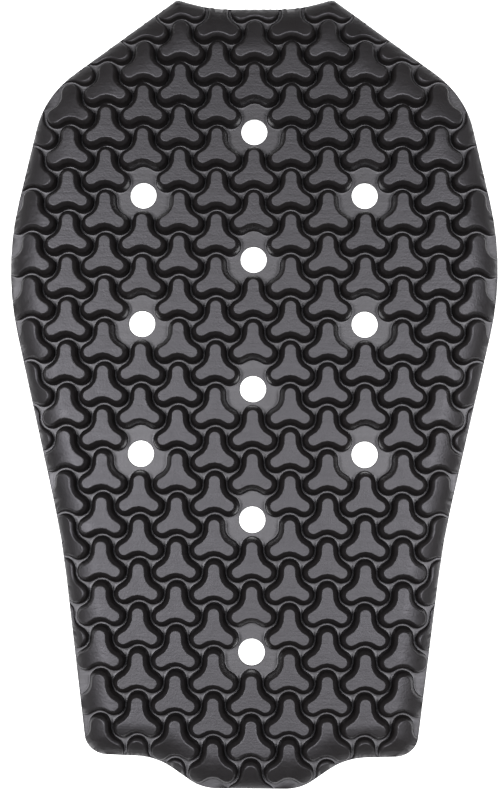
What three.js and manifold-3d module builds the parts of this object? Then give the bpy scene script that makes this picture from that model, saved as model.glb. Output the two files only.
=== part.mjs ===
// A back protector insert: one moulding of flexible foam, worn flat against the spine inside a jacket.
// A thin sheet carries a field of three-lobed studs that nest in each other on a triangular lattice,
// so the pad bends along the channels between them. Round vents go through the sheet, each in the
// place of one stud. Towards the rim the studs roll down to nothing, and the outline cuts them off.
// Millimetres. The flat back lies on z = 0, the studs point to +Z and the neck end to +Y.
import * as THREE from 'three';
import { mergeVertices } from 'three/addons/utils/BufferGeometryUtils.js';
import Module from 'manifold-3d';

// The pad as a whole
const padLength = 424.5;
const padWidth = 263;
const sheetThickness = 2.3;

// The stud field
const columnPitch = 20;
const rowPitch = 23.34;
const channelWidth = 1.34;
const lobeReach = 8.65;      // from a stud's middle to the centre of each lobe's round end
const studHeight = 8.7;      // above the sheet
const wallInset = 2;         // how far a stud's top edge stands in from its foot
const fieldShift = -0.75;    // the field's middle, along the pad from the pad's own middle
const studOverhang = 7;      // a stud whose middle lies further outside the outline is left out

// The vents
const ventDiameter = 14.1;

// How far in from the outline the studs have rolled up to their full height, and how the roll is rounded:
// a power of 1 would be a straight slope and 2 a quarter of an ellipse.
const sideRoll = 17.5;
const neckRoll = 25;
const tailRoll = 20;
const rollPower = 1.6;

// Half of the outline, from the neck round to the tail: a polygon whose corners are rounded by arcs.
// across is a share of half the width, along a share of half the length, and round, the arc's radius,
// a share of half the width.
const outlineCorners = [
  { name: 'neck dip', across: 0.16, along: 0.992, round: 0.477 },
  { name: 'neck corner', across: 0.297, along: 1.017, round: 0.02 },
  { name: 'shoulder', across: 0.797, along: 0.762, round: 0.402 },
  { name: 'ribs', across: 0.945, along: 0.309, round: 1.4 },
  { name: 'waist', across: 0.708, along: -0.39, round: 3.345 },
  { name: 'hip corner', across: 0.6055, along: -0.933, round: 0.0885 },
  { name: 'hip shelf', across: 0.347, along: -0.939, round: 0.239 },
  { name: 'tail corner', across: 0.181, along: -1.017, round: 0.163 },
];

// Where the roll changes its width: along is a share of half the length.
const rollSections = [
  { along: -0.95, width: tailRoll },
  { along: -0.8, width: sideRoll },
  { along: 0.4, width: sideRoll },
  { along: 0.7, width: neckRoll },
];

// The vents, in steps of the stud lattice from the field's middle
const ventSteps = [
  { column: 0, row: 6 },
  { column: -3, row: 4.5 },
  { column: 3, row: 4.5 },
  { column: 0, row: 3 },
  { column: -3, row: 1.5 },
  { column: 3, row: 1.5 },
  { column: 0, row: 0 },
  { column: -3, row: -1.5 },
  { column: 3, row: -1.5 },
  { column: 0, row: -3 },
  { column: 0, row: -6 },
];

// How finely round things are cut into flats
const cornerStep = THREE.MathUtils.degToRad(12);
const ventSides = 12;
const lobeSides = 3;
const hollowShare = 0.7;     // how far the flat across a hollow lies from the arc's chord to its depth

const wasm = await Module();
wasm.setup();

// The arc of one rounded corner, as points from the incoming side to the outgoing side
function roundedCorner(before, corner, after, radius) {
  const towardBefore = before.clone().sub(corner).normalize();
  const towardAfter = after.clone().sub(corner).normalize();
  const halfAngle = Math.acos(THREE.MathUtils.clamp(towardBefore.dot(towardAfter), -1, 1)) / 2;
  const bisector = towardBefore.clone().add(towardAfter).normalize();
  const centre = corner.clone().addScaledVector(bisector, radius / Math.sin(halfAngle));
  const setback = radius / Math.tan(halfAngle);
  const start = corner.clone().addScaledVector(towardBefore, setback).sub(centre);
  const end = corner.clone().addScaledVector(towardAfter, setback).sub(centre);
  const turn = Math.atan2(start.cross(end), start.dot(end));
  const steps = Math.max(2, Math.round(Math.abs(turn) / cornerStep));
  const origin = new THREE.Vector2();
  return Array.from({ length: steps + 1 }, (unused, step) =>
    start.clone().rotateAround(origin, (turn * step) / steps).add(centre));
}

// The closed outline, counterclockwise, stretched so that it measures exactly the pad's size
function outlinePoints() {
  const halfWidth = padWidth / 2;
  const halfLength = padLength / 2;
  const right = outlineCorners.map((row) => ({
    at: new THREE.Vector2(row.across * halfWidth, row.along * halfLength),
    radius: row.round * halfWidth,
  }));
  const left = right.map((row) => ({ at: new THREE.Vector2(-row.at.x, row.at.y), radius: row.radius }));
  const corners = [...left, ...right.reverse()];
  const count = corners.length;
  const points = corners.flatMap((row, index) => {
    const before = corners[(index + count - 1) % count];
    const after = corners[(index + 1) % count];
    return roundedCorner(before.at, row.at, after.at, row.radius);
  });
  const box = new THREE.Box2().setFromPoints(points);
  const size = box.getSize(new THREE.Vector2());
  const middle = box.getCenter(new THREE.Vector2());
  return points.map((point) =>
    point.sub(middle).multiply(new THREE.Vector2(padWidth / size.x, padLength / size.y)));
}

const outline = outlinePoints();

// Distance from a point to the outline, positive inside
function depthInside(point) {
  let nearest = Infinity;
  let inside = false;
  outline.forEach((start, index) => {
    const end = outline[(index + 1) % outline.length];
    const edge = end.clone().sub(start);
    const reach = point.clone().sub(start);
    const along = THREE.MathUtils.clamp(reach.dot(edge) / edge.lengthSq(), 0, 1);
    nearest = Math.min(nearest, reach.addScaledVector(edge, -along).length());
    const crosses = start.y > point.y !== end.y > point.y;
    if (crosses && point.x < start.x + (edge.x * (point.y - start.y)) / edge.y) inside = !inside;
  });
  return inside ? nearest : -nearest;
}

// The roll's width at a place along the pad, between the rows of its table
function rollWidth(y) {
  const along = y / (padLength / 2);
  const rows = rollSections;
  const above = rows.findIndex((row) => row.along > along);
  if (above === 0) return rows[0].width;
  if (above < 0) return rows[rows.length - 1].width;
  const share = (along - rows[above - 1].along) / (rows[above].along - rows[above - 1].along);
  return THREE.MathUtils.lerp(rows[above - 1].width, rows[above].width, share);
}

// How much of its height a stud has over a point of the pad: a quarter of a superellipse that climbs
// steeply from the outline and ends level, and a slope below nothing outside it
function studRise(point) {
  const share = depthInside(point) / rollWidth(point.y);
  if (share <= 0) return share;
  return (1 - (1 - Math.min(share, 1)) ** rollPower) ** (1 / rollPower);
}

// A stud's foot: three lobes at 90, 210 and 330 degrees. Each lobe ends in an arc, and between two lobes
// a hollow arc lies one channel away from the neighbour's lobe, with a radius that makes the arcs touch.
// The lobe's arc is cut into flats. The hollow is one flat, laid between its arc's chord and its depth.
function studFoot() {
  const regularPitch = columnPitch / Math.cos(Math.PI / 6);
  const stretch = rowPitch / regularPitch;
  const hollowReach = regularPitch - lobeReach;
  const lobe = new THREE.Vector2(0, lobeReach);
  const toHollow = new THREE.Vector2(Math.cos(Math.PI / 6), Math.sin(Math.PI / 6));
  const hollow = toHollow.clone().multiplyScalar(hollowReach);
  const lobeRadius = (lobe.distanceTo(hollow) - channelWidth) / 2;
  const firstAngle = hollow.clone().sub(lobe).angle() - 2 * Math.PI;
  const span = Math.PI - 2 * firstAngle;
  const onLobe = (angle) =>
    new THREE.Vector2(Math.cos(angle), Math.sin(angle)).multiplyScalar(lobeRadius).add(lobe);
  const hollowSag = onLobe(firstAngle).dot(toHollow) - (hollowReach - lobeRadius - channelWidth);
  const inward = toHollow.clone().multiplyScalar(-hollowSag * hollowShare);
  const origin = new THREE.Vector2();
  const points = [];
  for (let third = 0; third < 3; third += 1) {
    for (let side = 0; side <= lobeSides; side += 1) {
      const point = onLobe(firstAngle + (span * side) / lobeSides);
      if (side === 0) point.add(inward);
      if (side === lobeSides) point.add(new THREE.Vector2(-inward.x, inward.y));
      points.push(point.rotateAround(origin, (third * 2 * Math.PI) / 3));
    }
  }
  return points.map((point) => new THREE.Vector2(point.x, point.y * stretch));
}

// A closed polygon moved inwards, each corner along the line that halves it
function insetPolygon(points, distance) {
  const count = points.length;
  return points.map((point, index) => {
    const before = point.clone().sub(points[(index + count - 1) % count]).normalize();
    const after = points[(index + 1) % count].clone().sub(point).normalize();
    const normal = new THREE.Vector2(-before.y - after.y, before.x + after.x);
    return point.clone().addScaledVector(normal, (2 * distance) / normal.lengthSq());
  });
}

// Whether a lattice place is taken by a vent
function isVent(column, row) {
  return ventSteps.some((step) => step.column === column && step.row === row);
}

// The middles of all studs whose foot may reach the pad; every other column is half a step up
function studCentres() {
  const columns = Math.ceil(padWidth / 2 / columnPitch) + 1;
  const rows = Math.ceil(padLength / 2 / rowPitch) + 1;
  const centres = [];
  for (let column = -columns; column <= columns; column += 1) {
    const offset = column % 2 === 0 ? 0 : 0.5;
    for (let row = offset - rows; row <= rows; row += 1) {
      if (isVent(column, row)) continue;
      const centre = new THREE.Vector2(column * columnPitch, row * rowPitch + fieldShift);
      if (depthInside(centre) > -studOverhang) centres.push(centre);
    }
  }
  return centres;
}

// All studs as one closed mesh of separate bodies: each has a foot inside the sheet, walls that lean in,
// and a top, which is a fan round its middle where it is not flat. Where the pad rolls down, walls and top
// are lowered, and what would lie below the sheet's face stays just inside the sheet.
function studField() {
  const foot = studFoot();
  const top = insetPolygon(foot, wallInset);
  const sides = foot.length;
  const flatFaces = THREE.ShapeUtils.triangulateShape(top, []);
  const rootHeight = sheetThickness / 2;
  const sunkHeight = sheetThickness * 0.75;
  const positions = [];
  const indices = [];
  const put = (point, z) => positions.push(point.x, point.y, z);
  const putTop = (point) => put(point, Math.max(sunkHeight, sheetThickness + studHeight * studRise(point)));
  studCentres().forEach((centre) => {
    const first = positions.length / 3;
    const isFlat = top.every((corner) => studRise(corner.clone().add(centre)) === 1);
    foot.forEach((point) => put(point.clone().add(centre), rootHeight));
    foot.forEach((point, side) => {
      const lean = THREE.MathUtils.clamp(studRise(top[side].clone().add(centre)), 0, 1);
      putTop(point.clone().lerp(top[side], lean).add(centre));
    });
    put(centre, rootHeight);
    if (!isFlat) putTop(centre);
    for (let side = 0; side < sides; side += 1) {
      const next = (side + 1) % sides;
      indices.push(first + side, first + next, first + sides + side);
      indices.push(first + next, first + sides + next, first + sides + side);
      indices.push(first + 2 * sides, first + next, first + side);
      if (!isFlat) indices.push(first + 2 * sides + 1, first + sides + side, first + sides + next);
    }
    if (isFlat) indices.push(...flatFaces.flat().map((corner) => first + sides + corner));
  });
  const geometry = new THREE.BufferGeometry();
  geometry.setAttribute('position', new THREE.Float32BufferAttribute(positions, 3));
  geometry.setIndex(indices);
  return geometry;
}

// The outline as a plate of some thickness, with or without the vents
function outlinePlate(thickness, withVents) {
  const shape = new THREE.Shape(outline);
  if (withVents) {
    ventSteps.forEach((step) => {
      const hole = new THREE.Path();
      const y = step.row * rowPitch + fieldShift;
      hole.absarc(step.column * columnPitch, y, ventDiameter / 2, 0, 2 * Math.PI, true);
      shape.holes.push(new THREE.Path(hole.getSpacedPoints(ventSides).slice(0, ventSides)));
    });
  }
  return new THREE.ExtrudeGeometry(shape, { depth: thickness, bevelEnabled: false });
}

// From a closed geometry to a solid that can be joined and cut, and back again
function toSolid(geometry) {
  const bare = geometry.clone();
  bare.deleteAttribute('normal');
  bare.deleteAttribute('uv');
  const merged = mergeVertices(bare, 1e-4);
  return new wasm.Manifold(new wasm.Mesh({
    numProp: 3,
    vertProperties: new Float32Array(merged.attributes.position.array),
    triVerts: new Uint32Array(merged.index.array),
  }));
}

function toGeometry(solid) {
  const mesh = solid.getMesh();
  const geometry = new THREE.BufferGeometry();
  geometry.setAttribute('position', new THREE.BufferAttribute(mesh.vertProperties, 3));
  geometry.setIndex(new THREE.BufferAttribute(mesh.triVerts, 1));
  geometry.computeVertexNormals();
  return geometry;
}

// The pad: the studs, cut off at the outline, joined to the vented sheet
function padGeometry() {
  const envelope = toSolid(outlinePlate(sheetThickness + studHeight * 2, false));
  const studs = toSolid(studField()).intersect(envelope);
  return toGeometry(toSolid(outlinePlate(sheetThickness, true)).add(studs));
}

const foam = new THREE.MeshStandardMaterial({ color: 0x2b2b2e, roughness: 0.5, metalness: 0 });
const pad = new THREE.Mesh(padGeometry(), foam);
pad.name = 'pad';

const backProtector = new THREE.Group();
backProtector.add(pad);

export default backProtector;
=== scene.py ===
# %% [markdown]
# A studded back protector
#
# This lesson builds the looks of a back protector insert: one moulding of black impact foam, a thin sheet
# that carries a field of three-lobed studs. The studs nest in each other, so the pad can bend along the
# narrow channels between them. Vents go through the sheet, and near the rim the studs roll down to nothing.
#
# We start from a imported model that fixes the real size. Everything here is in metres, and the new pad has
# to fill the same box, so its length, width and thickness are read from that box and never typed again.

# %% The fixed frame
import math

import bmesh
import bpy
import numpy as np
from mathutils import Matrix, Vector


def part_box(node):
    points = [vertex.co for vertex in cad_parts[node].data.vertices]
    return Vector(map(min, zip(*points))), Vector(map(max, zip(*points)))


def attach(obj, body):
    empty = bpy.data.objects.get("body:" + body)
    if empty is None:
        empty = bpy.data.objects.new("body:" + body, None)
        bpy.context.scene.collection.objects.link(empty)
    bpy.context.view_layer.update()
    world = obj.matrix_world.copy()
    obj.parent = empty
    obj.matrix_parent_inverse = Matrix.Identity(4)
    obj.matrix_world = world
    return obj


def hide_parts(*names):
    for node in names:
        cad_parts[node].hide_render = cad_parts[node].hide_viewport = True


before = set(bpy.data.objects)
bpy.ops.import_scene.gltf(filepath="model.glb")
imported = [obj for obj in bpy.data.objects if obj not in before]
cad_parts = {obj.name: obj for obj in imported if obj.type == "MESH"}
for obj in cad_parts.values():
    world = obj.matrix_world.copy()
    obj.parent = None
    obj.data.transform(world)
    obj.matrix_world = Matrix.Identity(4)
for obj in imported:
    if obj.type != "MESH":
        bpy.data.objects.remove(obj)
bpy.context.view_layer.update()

MM = 0.001
pad_low, pad_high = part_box("pad")
pad_length = pad_high.y - pad_low.y
pad_width = pad_high.x - pad_low.x
pad_height = pad_high.z - pad_low.z
print(f"pad: {pad_length / MM:.1f} x {pad_width / MM:.1f} x {pad_height / MM:.1f} mm")

# %% [markdown]
# The sizes of the moulding
#
# A few sizes drive the whole form. The stud columns stand 20 mm apart, and the rows a little over 23 mm,
# which is almost a regular triangular lattice. The channel between two studs is only 1.3 mm wide. A stud's
# wall leans in a little, so that it leaves the mould, and a wide soft chamfer leads from it to the flat top.

# %% Driving sizes
sheet_thickness = 2.3 * MM
stud_height = pad_height - sheet_thickness
column_pitch = 20 * MM
row_pitch = 23.34 * MM
channel_width = 1.34 * MM
lobe_reach = 8.65 * MM
field_shift = -0.75 * MM
vent_diameter = 14.1 * MM
wall_lean = 0.6 * MM
shoulder_width = 2.3 * MM
shoulder_drop = 2.7 * MM
print(f"studs rise {stud_height / MM:.1f} mm above a sheet of {sheet_thickness / MM:.1f} mm")

# %% [markdown]
# The outline
#
# The pad is cut from the neck to the tail along a line with few corners: a shallow dip at the neck, sloping
# shoulders, a bulge over the ribs, a waist, a level shelf at each hip and a short tail. We could draw it as
# a Bezier curve, but a polygon with rounded corners is easier to read and to change: each row of the table
# is one corner, as shares of half the width and half the length, with the radius of the arc that rounds it.

# %% Rounding one corner
OUTLINE_CORNERS = [
    {"name": "neck dip", "across": 0.16, "along": 0.992, "round": 0.477},
    {"name": "neck corner", "across": 0.297, "along": 1.017, "round": 0.02},
    {"name": "shoulder", "across": 0.797, "along": 0.762, "round": 0.402},
    {"name": "ribs", "across": 0.945, "along": 0.309, "round": 1.4},
    {"name": "waist", "across": 0.708, "along": -0.39, "round": 3.345},
    {"name": "hip corner", "across": 0.6055, "along": -0.933, "round": 0.0885},
    {"name": "hip shelf", "across": 0.347, "along": -0.939, "round": 0.239},
    {"name": "tail corner", "across": 0.181, "along": -1.017, "round": 0.163},
]
CORNER_STEP = math.radians(3)


def rounded_corner(before, corner, after, radius):
    """An arc that touches both sides of a corner. Its centre lies on the corner's bisector, at the radius
    over the sine of half the corner's angle, and it runs from one touching point to the other."""
    to_before = (before - corner) / np.linalg.norm(before - corner)
    to_after = (after - corner) / np.linalg.norm(after - corner)
    half_angle = math.acos(float(np.dot(to_before, to_after))) / 2
    bisector = (to_before + to_after) / np.linalg.norm(to_before + to_after)
    centre = corner + bisector * radius / math.sin(half_angle)
    start = corner + to_before * radius / math.tan(half_angle) - centre
    end = corner + to_after * radius / math.tan(half_angle) - centre
    turn = math.atan2(start[0] * end[1] - start[1] * end[0], float(np.dot(start, end)))
    angles = np.linspace(0, turn, max(3, round(abs(turn) / CORNER_STEP)))
    spun = np.column_stack([start[0] * np.cos(angles) - start[1] * np.sin(angles),
                            start[0] * np.sin(angles) + start[1] * np.cos(angles)])
    return centre + spun


# %% The whole outline
def outline_points():
    """All corners of the right half, mirrored to the left, rounded one by one, and then stretched so that
    the outline measures exactly the pad's width and length."""
    half = np.array([pad_width, pad_length]) / 2
    right = [(np.array([row["across"], row["along"]]) * half, row["round"] * half[0])
             for row in OUTLINE_CORNERS]
    left = [(place * np.array([-1, 1]), radius) for place, radius in right]
    corners = left + right[::-1]
    places = [place for place, radius in corners]
    arcs = [rounded_corner(places[i - 1], place, places[(i + 1) % len(places)], radius)
            for i, (place, radius) in enumerate(corners)]
    points = np.concatenate(arcs)
    low, high = points.min(0), points.max(0)
    return (points - (low + high) / 2) * 2 * half / (high - low)


outline = outline_points()
print("outline points:", len(outline))

# %% [markdown]
# How the studs roll down at the rim
#
# Near the rim every stud loses height, down to nothing at the outline. The roll is a curve over the distance
# to the outline, steep at first and level at its end. A straight ramp would be simpler, but it mirrors the
# light as one even grey band, which the real rim doesn't. The roll is narrow along the sides, wide over the
# shoulders and the neck, and in between at the tail. The distance from many points to a polygon is a good
# first exercise in numpy: we compare all points with all sides at once, in slices to save memory.

# %% The distance to the outline
side_roll = 17.5 * MM
neck_roll = 25 * MM
tail_roll = 20 * MM
ROLL_POWER = 1.6
ROLL_ALONG = [-0.95, -0.8, 0.4, 0.7]
ROLL_WIDTH = [tail_roll, side_roll, side_roll, neck_roll]
SLICE_POINTS = 20000


def depth_inside(points):
    """Distance from each point to the nearest side of the outline, positive inside. A side's nearest point
    is found by projecting on the side and stopping at its ends. A point is inside where a ray to its right
    crosses the outline an odd number of times."""
    start = outline
    edge = np.roll(outline, -1, axis=0) - outline
    result = np.empty(len(points))
    for part in np.array_split(np.arange(len(points)), max(1, len(points) // SLICE_POINTS)):
        reach = points[part, None, :] - start[None]
        along = np.clip((reach * edge).sum(2) / (edge ** 2).sum(1), 0, 1)
        gap = np.linalg.norm(reach - along[..., None] * edge, axis=2).min(1)
        y = points[part, 1][:, None]
        crosses = (start[:, 1] > y) != (start[:, 1] + edge[:, 1] > y)
        steepness = np.where(edge[:, 1] == 0, 1, edge[:, 1])
        crossing_x = start[:, 0] + edge[:, 0] * (y - start[:, 1]) / steepness
        inside = (crosses & (points[part, 0][:, None] < crossing_x)).sum(1) % 2 == 1
        result[part] = np.where(inside, gap, -gap)
    return result


def rise(points):
    """The share of its full height that a stud has at each point. Going in from the outline it climbs along
    a quarter of a superellipse, so it starts steep and ends level."""
    width = np.interp(points[:, 1] / (pad_length / 2), ROLL_ALONG, ROLL_WIDTH)
    share = np.clip(depth_inside(points) / width, 0, 1)
    return (1 - (1 - share) ** ROLL_POWER) ** (1 / ROLL_POWER)


# %% [markdown]
# One tile of the stud field
#
# Around each stud we draw a tile that ends on the middle line of the channels, so that tiles meet without
# gaps. Everything is made of arcs. Each lobe ends in an arc around its own centre, and between two lobes a
# hollow arc runs around the neighbour's lobe centre, one channel further out. The lobe's radius is chosen so
# that the arcs touch. So each point of a tile lies on a ray from an arc's centre, and moving a ring of
# points in or out only changes the length of its rays: shorter on a lobe, longer on a hollow.

# %% The rays of a tile
regular_pitch = column_pitch / math.cos(math.pi / 6)
row_stretch = row_pitch / regular_pitch
hollow_reach = regular_pitch - lobe_reach
LOBE_CENTRE = np.array([0, lobe_reach])
HOLLOW_CENTRE = hollow_reach * np.array([math.cos(math.pi / 6), math.sin(math.pi / 6)])
between = HOLLOW_CENTRE - LOBE_CENTRE
lobe_radius = (np.linalg.norm(between) - channel_width) / 2
FIRST_ANGLE = math.atan2(between[1], between[0])
JOINT_SPAN = math.pi / 6
HOLLOW_SPAN = math.pi - 2 * FIRST_ANGLE - 4 * JOINT_SPAN
SIDE_STEPS = 2
HOLLOW_STEPS = 4


def tile_rays():
    """For each ray round the tile: its centre, its direction, +1 on a lobe or -1 on a hollow, and how much
    longer than the middle of the channel it gets in the corner where three tiles meet. There the tile ends
    on a straight line that touches the arc, so the ray grows by one over the cosine of the angle."""
    a, j = FIRST_ANGLE, JOINT_SPAN
    knots = [a, a + j, a + 2 * j, a + 2 * j + HOLLOW_SPAN, a + 3 * j + HOLLOW_SPAN, a + 4 * j + HOLLOW_SPAN]
    steps = [SIDE_STEPS, SIDE_STEPS, HOLLOW_STEPS, SIDE_STEPS, SIDE_STEPS]
    lobe = np.concatenate([np.linspace(k, n, s, endpoint=False) for k, n, s in zip(knots, knots[1:], steps)])
    off_start = np.where(lobe < knots[1], lobe - knots[0], np.clip(knots[2] - lobe, 0, None))
    off_end = np.where(lobe > knots[4], knots[5] - lobe, np.clip(lobe - knots[3], 0, None))
    hollow_from = FIRST_ANGLE + 4 * JOINT_SPAN + HOLLOW_SPAN - math.pi
    hollow = hollow_from - np.arange(HOLLOW_STEPS) / HOLLOW_STEPS * HOLLOW_SPAN
    left_centre = HOLLOW_CENTRE * np.array([-1, 1])
    centre = np.concatenate([np.tile(LOBE_CENTRE, (len(lobe), 1)), np.tile(left_centre, (len(hollow), 1))])
    angle = np.concatenate([lobe, hollow])
    sign = np.concatenate([np.ones(len(lobe)), -np.ones(len(hollow))])
    growth = np.concatenate([1 / np.cos(off_start + off_end), np.ones(len(hollow))])
    turns = np.arange(3)[:, None] * 2 * math.pi / 3
    x = centre[:, 0] * np.cos(turns) - centre[:, 1] * np.sin(turns)
    y = centre[:, 0] * np.sin(turns) + centre[:, 1] * np.cos(turns)
    angles = (angle + turns).ravel()
    return (np.column_stack([x.ravel(), y.ravel()]), np.column_stack([np.cos(angles), np.sin(angles)]),
            np.tile(sign, 3), np.tile(growth, 3))


RAY_CENTRE, RAY_DIRECTION, RAY_SIGN, RAY_GROWTH = tile_rays()
ray_count = len(RAY_SIGN)
print(f"{ray_count} rays, lobe radius {lobe_radius / MM:.2f} mm")


def ring(inward, at_border=False):
    """One closed ring of the tile, as far in from the stud's foot as inward says (one number or one for
    each ray). The border ring is half a channel outside, with its rays grown into the corners."""
    length = np.where(RAY_SIGN > 0, lobe_radius - inward, lobe_radius + channel_width + inward)
    if at_border:
        length = length * RAY_GROWTH
    return (RAY_CENTRE + RAY_DIRECTION * length[:, None]) * np.array([1, row_stretch])


# %% [markdown]
# The section of a stud
#
# The profile goes from the channel's floor through a small fillet, up the leaning wall and over the soft
# chamfer to the flat top. Each row holds how far in from the foot the ring lies and how high. At the rim the
# whole profile shrinks with the local rise, so a low stud keeps its steep wall and gets a smaller chamfer.

# %% The profile
FILLET = 0.35 * MM
FILLET_ANGLES = np.radians([0, 45, 85])
SHOULDER_STEPS = 4
SHOULDER_POWER = 1.15
TOP_MARGIN = 0.15 * MM
RIM_MARGIN = 0.3 * MM
CENTRE_RINGS = 4


def stud_profile():
    """Rows of (in from the foot, height): the tile's border, the fillet, the shoulder and a margin of the
    flat top. The shoulder is a quarter of a superellipse: its power is 1 for a chamfer and 2 for a round."""
    angles = np.linspace(0, math.pi / 2, SHOULDER_STEPS + 1)
    shoulder_in = wall_lean + shoulder_width * (1 - np.cos(angles) ** (2 / SHOULDER_POWER))
    shoulder_up = stud_height - shoulder_drop * (1 - np.sin(angles) ** (2 / SHOULDER_POWER))
    fillet = zip(FILLET * (np.sin(FILLET_ANGLES) - 1), FILLET * (1 - np.cos(FILLET_ANGLES)))
    start = [(-channel_width / 2, 0)] + list(fillet)
    flat = [(wall_lean + shoulder_width + TOP_MARGIN, stud_height)]
    return np.array(start + list(zip(shoulder_in, shoulder_up)) + flat)


PROFILE = stud_profile()
print("profile rows (mm):", np.round(PROFILE / MM, 2).tolist())


def ring_faces(rings):
    """Quads between each ring and the next, running round: (ring, ray) to (ring, next ray) and up one."""
    ray = np.arange(ray_count)
    after = (ray + 1) % ray_count
    level = (np.arange(rings - 1) * ray_count)[:, None]
    quads = np.stack([level + ray, level + after, level + ray_count + after, level + ray_count + ray], axis=2)
    return quads.reshape(-1, 4)


# %% [markdown]
# The field of studs
#
# The lattice gives the middle of every stud. Far from the rim all studs are alike, so one tile is copied by
# adding the middles to it in a single numpy sum, and the flat top is one face. Near the rim the top slopes,
# so those tiles get more rings, which close in on the middle and follow the roll.

# %% The lattice
VENT_STEPS = np.array([(0, 6), (-3, 4.5), (3, 4.5), (0, 3), (-3, 1.5), (3, 1.5), (0, 0),
                       (-3, -1.5), (3, -1.5), (0, -3), (0, -6)])
STUD_OVERHANG = 7 * MM


def lattice():
    """The steps (column, row) of all tiles that can touch the pad. Odd columns stand half a row higher."""
    columns = math.ceil(pad_width / 2 / column_pitch) + 1
    rows = math.ceil(pad_length / 2 / row_pitch) + 1
    column, row = np.meshgrid(np.arange(-columns, columns + 1), np.arange(-rows, rows + 1), indexing="ij")
    return np.column_stack([column.ravel(), (row + (column % 2) * 0.5).ravel()])


steps = lattice()
middles = steps * np.array([column_pitch, row_pitch]) + np.array([0, field_shift])
is_vent = (steps[:, None, :] == VENT_STEPS[None]).all(2).any(1)
middle_depth = depth_inside(middles)
tile_size = lobe_reach + lobe_radius + channel_width


def all_flat(centres):
    """True where a whole tile stands at full height, tested on the tile's border ring."""
    border = ring(-channel_width / 2, at_border=True)
    points = (centres[:, None, :] + border[None]).reshape(-1, 2)
    return (rise(points).reshape(len(centres), -1) >= 1).all(1)


used = middle_depth > -tile_size
bare = used & (is_vent | (middle_depth < -STUD_OVERHANG))
inner = used & ~bare & all_flat(middles)
outer = used & ~bare & ~inner
print(f"{inner.sum()} full studs, {outer.sum()} at the rim, {bare.sum()} bare tiles, {is_vent.sum()} vents")

# %% [markdown]
# Three kinds of tile
#
# A full stud is the profile's rings and one flat face on top. A stud at the rim has its heights multiplied
# by the local rise. The third kind is bare sheet. It stands where a vent will be cut, and beyond the last
# studs, where only the tip of a lobe would still reach the pad.

# %% Tiles of the three kinds
LOWEST_SCALE = 0.12


def flat_tiles(centres):
    """Full studs: the profile's rings, then one flat face across the top."""
    rings = np.stack([ring(PROFILE[0, 0], at_border=True)] + [ring(inward) for inward in PROFILE[1:, 0]])
    height = np.repeat(PROFILE[:, 1], ray_count)
    flat = rings.reshape(-1, 2)
    places = centres[:, None, :] + flat[None]
    heights = np.broadcast_to(height, places.shape[:2])
    faces = ring_faces(len(PROFILE))
    top = (len(PROFILE) - 1) * ray_count + np.arange(ray_count)
    offsets = np.arange(len(centres)) * len(flat)
    quads = (offsets[:, None, None] + faces[None]).reshape(-1, 4)
    tops = offsets[:, None] + top[None]
    return np.dstack([places, heights]).reshape(-1, 3), quads.tolist() + tops.tolist()


def rolled_tiles(centres):
    """Studs at the rim. The profile's offsets into the stud are scaled by the rise at the foot, and its
    heights by the rise at the place itself, so the top follows the roll. Inside the profile a few rings
    shrink towards the middle, where the last ring closes on one point."""
    count = len(centres)
    foot = centres[:, None, :] + ring(0.0)[None]
    scale = np.clip(rise(foot.reshape(-1, 2)).reshape(count, ray_count), LOWEST_SCALE, 1)
    levels = []
    heights = []
    profile = PROFILE + np.array([[0, 0]] * (len(PROFILE) - 1) + [[RIM_MARGIN, 0]])
    for row, (inward, height) in enumerate(profile):
        offset = inward * scale if inward > 0 else np.full_like(scale, inward)
        length = np.where(RAY_SIGN > 0, lobe_radius - offset, lobe_radius + channel_width + offset)
        if row == 0:
            length = length * RAY_GROWTH
        place = RAY_CENTRE + RAY_DIRECTION * length[..., None]
        levels.append(centres[:, None, :] + place * np.array([1, row_stretch]))
        heights.append(np.full((count, ray_count), height))
    for share in np.linspace(1, 0, CENTRE_RINGS + 1)[1:]:
        levels.append(centres[:, None, :] + (levels[len(PROFILE) - 1] - centres[:, None, :]) * share)
        heights.append(np.full((count, ray_count), stud_height))
    places = np.stack(levels, axis=1)
    tall = np.stack(heights, axis=1)
    local = np.clip(rise(places.reshape(-1, 2)).reshape(tall.shape), 0, 1)
    faces = ring_faces(places.shape[1])
    size = places.shape[1] * ray_count
    quads = (np.arange(count)[:, None, None] * size + faces[None]).reshape(-1, 4)
    points = np.concatenate([places, (tall * local)[..., None]], axis=3)
    return points.reshape(-1, 3), quads.tolist()


def bare_tiles(centres):
    """Bare tiles of the sheet, one flat face each: where a vent will be cut, and where only a lobe's tip of
    a stud would reach the pad."""
    border = ring(-channel_width / 2, at_border=True)
    places = centres[:, None, :] + border[None]
    points = np.dstack([places, np.zeros(places.shape[:2])]).reshape(-1, 3)
    faces = np.arange(len(points)).reshape(len(centres), ray_count)
    return points, faces.tolist()


# %% [markdown]
# One closed body
#
# The three kinds of tile become one mesh. Neighbouring tiles have the same points on their borders, so
# merging by distance welds them. The open edge all round is then pulled down below the pad and closed, which
# makes a solid block with a studded top, ready to be cut to shape. Blender's Boolean modifier needs closed
# bodies like this one, and its Manifold solver takes well under a second.

# %% The block
SKIRT_DEPTH = 4 * MM
WELD_DISTANCE = 0.002 * MM


def mesh_object(name, points, faces):
    """A mesh of that name from an array of points and a list of faces, linked to the scene."""
    mesh = bpy.data.meshes.new(name)
    mesh.from_pydata(points.tolist(), [], faces)
    mesh.update()
    piece = bpy.data.objects.new(name, mesh)
    bpy.context.scene.collection.objects.link(piece)
    return piece


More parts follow.
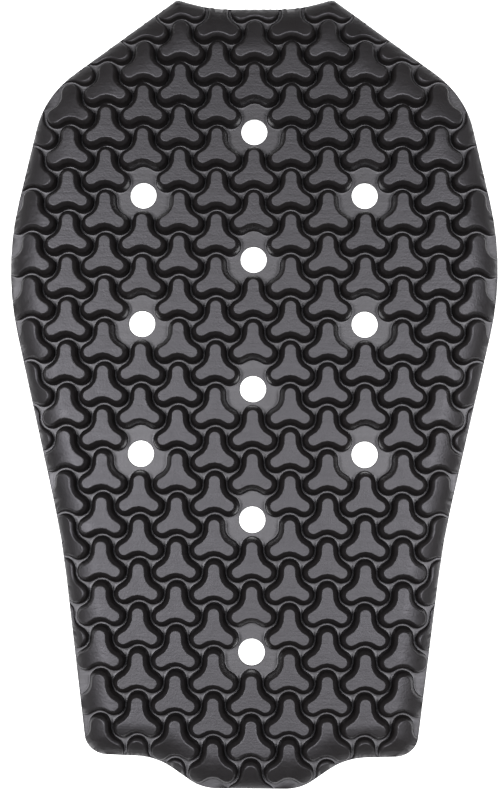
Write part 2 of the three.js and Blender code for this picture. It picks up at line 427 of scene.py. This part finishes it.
def stud_block():
    """All tiles in one mesh, raised to the sheet's face, welded, with a skirt and a floor below."""
    points = np.zeros((0, 3))
    faces = []
    for made, chosen in ((flat_tiles, inner), (rolled_tiles, outer), (bare_tiles, bare)):
        new_points, new_faces = made(middles[chosen])
        faces += [[index + len(points) for index in face] for face in new_faces]
        points = np.concatenate([points, new_points])
    points[:, 2] += pad_low.z + sheet_thickness
    block = mesh_object("stud_block", points, faces)
    bm = bmesh.new()
    bm.from_mesh(block.data)
    bmesh.ops.remove_doubles(bm, verts=bm.verts, dist=WELD_DISTANCE)
    border = [edge for edge in bm.edges if edge.is_boundary]
    skirt = bmesh.ops.extrude_edge_only(bm, edges=border)["geom"]
    lower = [item for item in skirt if isinstance(item, bmesh.types.BMVert)]
    bmesh.ops.translate(bm, verts=lower, vec=(0, 0, -sheet_thickness - SKIRT_DEPTH))
    rim = [item for item in skirt if isinstance(item, bmesh.types.BMEdge) and item.is_boundary]
    bmesh.ops.holes_fill(bm, edges=rim, sides=0)
    bmesh.ops.recalc_face_normals(bm, faces=bm.faces)
    loose = sum(not edge.is_manifold for edge in bm.edges)
    bm.to_mesh(block.data)
    bm.free()
    print(f"block: {len(block.data.polygons)} faces, {loose} open edges")
    return block


block = stud_block()

# %% [markdown]
# The cutters
#
# The outline cutter is the outline carried up from below the pad to above the studs. Its profile pulls in
# slightly at the pad's lower edge and at the sheet's upper edge, which leaves the fine soft edges of a
# moulding. The vent cutters are turned shapes: a profile of radius and height spun around each vent's axis,
# a little wider at both faces of the sheet.

# %% Outline cutter and vent cutters
SOFT_EDGE = 0.3 * MM
SOFT_CORNER = SOFT_EDGE * 0.3
CUT_CLEARANCE = 0.05 * MM
VENT_SIDES = 48


def outline_cutter():
    """The outline on each level of the profile, moved in along its normals, with a cap at both ends."""
    ahead = np.roll(outline, -1, axis=0) - np.roll(outline, 1, axis=0)
    ahead /= np.linalg.norm(ahead, axis=1)[:, None]
    inward = np.column_stack([ahead[:, 1], -ahead[:, 0]]) * -np.sign(signed_area(outline))
    top = pad_low.z + sheet_thickness
    levels = [(SOFT_EDGE, pad_low.z), (SOFT_CORNER, pad_low.z + SOFT_CORNER), (0, pad_low.z + SOFT_EDGE),
              (0, top - SOFT_EDGE), (SOFT_CORNER, top - SOFT_CORNER), (SOFT_EDGE, top + CUT_CLEARANCE),
              (SOFT_EDGE, pad_high.z + 2 * SKIRT_DEPTH)]
    points = np.concatenate([np.column_stack([outline + inward * inset, np.full(len(outline), height)])
                             for inset, height in levels])
    return mesh_object("outline_cutter", points, tube_faces(len(outline), len(levels)))


def signed_area(points):
    """Positive for a counterclockwise polygon: half the sum of the cross products of its sides."""
    after = np.roll(points, -1, axis=0)
    return float((points[:, 0] * after[:, 1] - points[:, 1] * after[:, 0]).sum() / 2)


def tube_faces(around, levels):
    """Quads up a closed tube of rings, and one cap at each end."""
    here = np.arange(around)
    after = (here + 1) % around
    up = (np.arange(levels - 1) * around)[:, None]
    quads = np.stack([up + here, up + after, up + around + after, up + around + here], axis=2).reshape(-1, 4)
    return quads.tolist() + [here[::-1].tolist(), (here + (levels - 1) * around).tolist()]


def vent_cutters():
    """One turned cutter for each vent, all in one mesh."""
    radius = vent_diameter / 2
    top = pad_low.z + sheet_thickness
    profile = [(radius + SOFT_EDGE, pad_low.z - SKIRT_DEPTH), (radius + SOFT_EDGE, pad_low.z),
               (radius, pad_low.z + SOFT_EDGE), (radius, top - SOFT_EDGE),
               (radius + SOFT_CORNER, top - SOFT_CORNER), (radius + SOFT_EDGE, top),
               (radius + SOFT_EDGE, pad_high.z + SKIRT_DEPTH)]
    angles = np.arange(VENT_SIDES) * 2 * math.pi / VENT_SIDES
    circle = np.column_stack([np.cos(angles), np.sin(angles)])
    shape = np.concatenate([np.column_stack([circle * r, np.full(VENT_SIDES, z)]) for r, z in profile])
    centres = np.column_stack([middles[is_vent], np.zeros(int(is_vent.sum()))])
    points = (centres[:, None, :] + shape[None]).reshape(-1, 3)
    faces = [[index + i * len(shape) for index in face]
             for i in range(len(centres)) for face in tube_faces(VENT_SIDES, len(profile))]
    return mesh_object("vent_cutters", points, faces)


# %% [markdown]
# Cutting, and where the shading may run smooth
#
# Light runs smoothly over a moulded skin, but it breaks where a sheet is cut. Smooth shading averages the
# directions of all faces that meet at a point. Round a vent this would tilt the whole level sheet towards
# the hole and leave blotches on it, so the edges there are marked as sharp. A Weighted Normal modifier could
# do it too, but it would also change the studs. We find the edges with numpy: each lies between a level face
# and a face that goes on into the sheet's thickness.

# %% Cutting the pad
SHARP_ANGLE = math.radians(50)
LEVEL = 0.9999
LEVEL_MARGIN = 0.02 * MM


def cut(body, cutter, operation):
    """Adds a Boolean modifier that uses the cutter."""
    modifier = body.modifiers.new(operation.lower(), "BOOLEAN")
    modifier.object = cutter
    modifier.operation = operation
    modifier.solver = "MANIFOLD"


def read_heights(polygons, name):
    """The upward part of each face's normal or middle, as a numpy array."""
    values = np.empty(len(polygons) * 3)
    polygons.foreach_get(name, values)
    return values.reshape(-1, 3)[:, 2]


def read_numbers(items, name):
    """A whole number of each item in a mesh's list, as a numpy array."""
    values = np.empty(len(items), dtype=int)
    items.foreach_get(name, values)
    return values


def part_level_faces(mesh):
    """Marks the cut edges of the sheet's two level faces as sharp. Such an edge has a level face on one side
    and, on the other, a soft edge that leads into the sheet's thickness: below the front, above the back."""
    upward = read_heights(mesh.polygons, "normal")
    middle = read_heights(mesh.polygons, "center")
    edge = read_numbers(mesh.loops, "edge_index")
    face = np.repeat(np.arange(len(upward)), read_numbers(mesh.polygons, "loop_total"))
    most_upward = np.full(len(mesh.edges), -1.0)
    least_upward = np.full(len(mesh.edges), 1.0)
    lowest_middle = np.full(len(mesh.edges), np.inf)
    np.maximum.at(most_upward, edge, upward[face])
    np.minimum.at(least_upward, edge, upward[face])
    np.minimum.at(lowest_middle, edge, middle[face])
    front = (most_upward > LEVEL) & (lowest_middle < pad_low.z + sheet_thickness - LEVEL_MARGIN)
    back = (least_upward < -LEVEL) & (most_upward > -LEVEL)
    sharp = np.zeros(len(mesh.edges), dtype=bool)
    mesh.attributes["sharp_edge"].data.foreach_get("value", sharp)
    mesh.attributes["sharp_edge"].data.foreach_set("value", sharp | front | back)
    print(f"{front.sum()} edges of the front and {back.sum()} of the back parted")


def finished_pad():
    """The block kept inside the outline, less the vents, as a plain mesh with smooth shading that breaks
    only at real edges."""
    cutters = [outline_cutter(), vent_cutters()]
    cut(block, cutters[0], "INTERSECT")
    cut(block, cutters[1], "DIFFERENCE")
    graph = bpy.context.evaluated_depsgraph_get()
    mesh = bpy.data.meshes.new_from_object(block.evaluated_get(graph))
    mesh.name = "foam_pad"
    piece = bpy.data.objects.new("foam_pad", mesh)
    bpy.context.scene.collection.objects.link(piece)
    for used_up in cutters + [block]:
        bpy.data.objects.remove(used_up)
    mesh.shade_smooth()
    mesh.set_sharp_from_angle(angle=SHARP_ANGLE)
    part_level_faces(mesh)
    return piece


pad = finished_pad()
triangle_count = sum(len(polygon.vertices) - 2 for polygon in pad.data.polygons)
print(f"pad: {len(pad.data.vertices)} points, {triangle_count} triangles")

# %% [markdown]
# Writing a material as formulas
#
# A node tree is easier to read as sums and products. This class wraps a socket, and each operator adds the
# Math node that does it, so grain * 0.5 + 0.5 is one line of code. node() makes any other node.

# %% Sockets with operators
class Wire:
    """A socket that can be added, subtracted and multiplied. Each operation adds a Math node."""

    def __init__(self, tree, socket):
        self.tree = tree
        self.socket = socket

    def math(self, operation, *others):
        made = self.tree.nodes.new("ShaderNodeMath")
        made.operation = operation
        for slot, value in zip(made.inputs, (self,) + others):
            put(self.tree, slot, value)
        return Wire(self.tree, made.outputs[0])

    def __add__(self, other):
        return self.math("ADD", other)

    def __sub__(self, other):
        return self.math("SUBTRACT", other)

    def __mul__(self, other):
        return self.math("MULTIPLY", other)

    def __rsub__(self, other):
        return (self * -1).math("ADD", other)

    __radd__ = __add__
    __rmul__ = __mul__


def put(tree, slot, value):
    """Links a wire to an input, or sets the input's own value."""
    if isinstance(value, Wire):
        tree.links.new(value.socket, slot)
    else:
        slot.default_value = value


def node(tree, kind, settings=None, out=0, **values):
    """A node of that kind with its settings, then its input values or links, by name or as in_0, in_1."""
    made = tree.nodes.new(kind)
    for name, value in (settings or {}).items():
        setattr(made, name, value)
    for name, value in values.items():
        slot = made.inputs[int(name[3:])] if name.startswith("in_") else made.inputs[name]
        put(tree, slot, value)
    return Wire(tree, made.outputs[out])


# %% [markdown]
# Black moulded foam
#
# The skin of moulded foam is almost black in itself. What shows is its satin sheen, so light faces are those
# that mirror the lamps, and every slope goes dark. On top of that the skin has a very fine grain, faint drag
# marks across the pad from the mould, and a few pinholes, which go through bump and roughness. The sheet
# between the studs is glossier than their tops, so it gets a thin coat, masked by its height.

# %% The foam's finish
FOAM_COLOUR = (0.0036, 0.0032, 0.0034, 1)
WARM_FOAM_COLOUR = (0.0052, 0.0040, 0.0032, 1)
FOAM_ROUGHNESS = 0.48
FOAM_IOR = 1.5
SHEEN_TINT = (0.925, 0.905, 1.0, 1)
SHEET_MARGIN = 0.1 * MM
NOISE_DETAIL = 3
NOISE_ROUGHNESS = 0.6
NOISE_MIDDLE = 0.5
PATCH_SCALE = 14
GRAIN_SCALE = 900
DRAG_SCALE = 500
DRAG_STRETCH = (0.06, 1, 1)
MOTTLE_SCALE = 160
PORE_SCALE = 190.0
PINHOLE_SIZE = 0.035
ROUGHNESS_SHARES = {"mottle": 0.10, "drag": 0.10, "patches": 0.06}
RELIEF_SHARES = {"grain": 0.55, "drag": 0.45, "mottle": 0.8, "pinhole": 0.5}
BUMP_STRENGTH = 0.65
BUMP_DEPTH = 0.3 * MM
SHEET_GLOSS = 0.3
SHEET_ROUGHNESS = 0.45


def foam_material():
    """Two near blacks mixed by a large cloud, roughness that varies a little round its middle, a bump from
    the sum of grain, drag marks and mottle less the pinholes, and a coat where the height is the sheet's."""
    material = bpy.data.materials.new("black_foam")
    material.use_nodes = True
    tree = material.node_tree
    tree.nodes.clear()
    place = node(tree, "ShaderNodeTexCoord", out=3)

    def cloud(scale, stretch=(1, 1, 1)):
        """Noise from 0 to 1 on Object coordinates, in cycles per metre, stretched by direction."""
        mapped = node(tree, "ShaderNodeMapping", Vector=place, Scale=stretch)
        return node(tree, "ShaderNodeTexNoise", Vector=mapped, Scale=scale, Detail=NOISE_DETAIL,
                    Roughness=NOISE_ROUGHNESS)

    patches = cloud(PATCH_SCALE)
    grain = cloud(GRAIN_SCALE)
    drag = cloud(DRAG_SCALE, stretch=DRAG_STRETCH)
    mottle = cloud(MOTTLE_SCALE)
    pores = node(tree, "ShaderNodeTexVoronoi", Vector=place, Scale=PORE_SCALE, Randomness=1.0)
    pinhole = pores.math("LESS_THAN", PINHOLE_SIZE)
    colour = node(tree, "ShaderNodeMix", {"data_type": "RGBA"}, out=2, in_0=patches,
                  in_6=FOAM_COLOUR, in_7=WARM_FOAM_COLOUR)
    share = ROUGHNESS_SHARES
    roughness = (FOAM_ROUGHNESS + (mottle - NOISE_MIDDLE) * share["mottle"]
                 + (drag - NOISE_MIDDLE) * share["drag"] + (patches - NOISE_MIDDLE) * share["patches"])
    share = RELIEF_SHARES
    relief = (grain * share["grain"] + drag * share["drag"] + mottle * share["mottle"]
              - pinhole * share["pinhole"])
    height = node(tree, "ShaderNodeSeparateXYZ", out=2, Vector=place)
    on_sheet = height.math("LESS_THAN", pad_low.z + sheet_thickness + SHEET_MARGIN)
    bump = node(tree, "ShaderNodeBump", Strength=BUMP_STRENGTH, Distance=BUMP_DEPTH, Height=relief)
    shader = tree.nodes.new("ShaderNodeBsdfPrincipled")
    shader.inputs["IOR"].default_value = FOAM_IOR
    shader.inputs["Specular Tint"].default_value = SHEEN_TINT
    put(tree, shader.inputs["Base Color"], colour)
    put(tree, shader.inputs["Roughness"], roughness)
    put(tree, shader.inputs["Coat Weight"], on_sheet * SHEET_GLOSS)
    shader.inputs["Coat Roughness"].default_value = SHEET_ROUGHNESS
    put(tree, shader.inputs["Normal"], bump)
    result = tree.nodes.new("ShaderNodeOutputMaterial")
    tree.links.new(shader.outputs[0], result.inputs["Surface"])
    print("foam material:", len(tree.nodes), "nodes")
    return material


pad.data.materials.clear()
pad.data.materials.append(foam_material())
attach(pad, "root")
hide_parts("pad")

# %% [markdown]
# Floor, light and camera
#
# The pad lies on its flat back on a pale floor. The light is a row of soft panels above: a bright one on
# either side and a dim one between them, so that flat tops mirror them and slopes don't. The camera looks
# almost straight down. Its place and turn come from fitting the stud lattice in the photograph with a
# pinhole model.

# %% Floor
FLOOR_SIZE = 6.0
FLOOR_GAP = 0.2 * MM
FLOOR_COLOUR = (0.9, 0.9, 0.9, 1)
FLOOR_ROUGHNESS = 0.9
FLOOR_GLOW = 0.75


def pale_floor():
    """A plain square just under the pad."""
    half = FLOOR_SIZE / 2
    corners = np.array([(-half, -half, 0), (half, -half, 0), (half, half, 0), (-half, half, 0)])
    corners[:, 2] = pad_low.z - FLOOR_GAP
    floor = mesh_object("floor", corners, [[0, 1, 2, 3]])
    material = bpy.data.materials.new("pale_floor")
    material.use_nodes = True
    shader = material.node_tree.nodes["Principled BSDF"]
    shader.inputs["Base Color"].default_value = FLOOR_COLOUR
    shader.inputs["Roughness"].default_value = FLOOR_ROUGHNESS
    shader.inputs["Emission Color"].default_value = (1, 1, 1, 1)
    shader.inputs["Emission Strength"].default_value = FLOOR_GLOW
    floor.data.materials.append(material)
    return floor


pale_floor()

# %% Light
BOX_WIDE = 0.34
BOX_DEEP = 0.5
BOX_HEIGHT = 1.5
BOX_APART = 0.64
BOX_SHIFT = -0.05
LEFT_POWER = 32.5
RIGHT_POWER = 29.5
MIDDLE_POWER = 2
SURROUND_COLOUR = (0.03, 0.03, 0.03, 1)


def soft_light():
    """Three softboxes in a row that face down, and a dim even surround."""
    boxes = [("left_box", -1, LEFT_POWER), ("middle_box", 0, MIDDLE_POWER), ("right_box", 1, RIGHT_POWER)]
    for name, side, power in boxes:
        box = bpy.data.lights.new(name, "AREA")
        box.shape = "RECTANGLE"
        box.size = BOX_WIDE
        box.size_y = BOX_DEEP
        box.energy = power
        lamp = bpy.data.objects.new(name, box)
        lamp.location = (side * BOX_APART, BOX_SHIFT, BOX_HEIGHT)
        bpy.context.scene.collection.objects.link(lamp)
    world = bpy.data.worlds.new("surround")
    world.use_nodes = True
    world.node_tree.nodes["Background"].inputs["Color"].default_value = SURROUND_COLOUR
    bpy.context.scene.world = world


soft_light()
bpy.context.scene.view_settings.view_transform = "Standard"

# %% Camera
IMAGE_HEIGHT = 800
SENSOR_SIZE = 36
NEAREST_VIEW = 10 * MM
FOCAL_PIXELS = 1456.4
CAMERA_PLACE = (14.13 * MM, -57.95 * MM, 782.3 * MM)
CAMERA_TURN = (math.radians(3.76), math.radians(1.07), math.radians(0.24))


def fitted_camera():
    """A camera at the fitted place, turned about Z, Y and X in that order. Its lens has the fitted focal
    length, which is in pixels, so it is scaled by the sensor's side over the picture's longer side."""
    lens = bpy.data.cameras.new("camera")
    lens.sensor_width = SENSOR_SIZE
    lens.lens = FOCAL_PIXELS * lens.sensor_width / IMAGE_HEIGHT
    lens.clip_start = NEAREST_VIEW
    camera = bpy.data.objects.new("camera", lens)
    camera.location = CAMERA_PLACE
    camera.rotation_mode = "ZYX"
    camera.rotation_euler = CAMERA_TURN
    bpy.context.scene.collection.objects.link(camera)
    bpy.context.scene.camera = camera
    print(f"camera {CAMERA_PLACE[2]:.2f} m up, lens {lens.lens:.1f} mm")


fitted_camera()
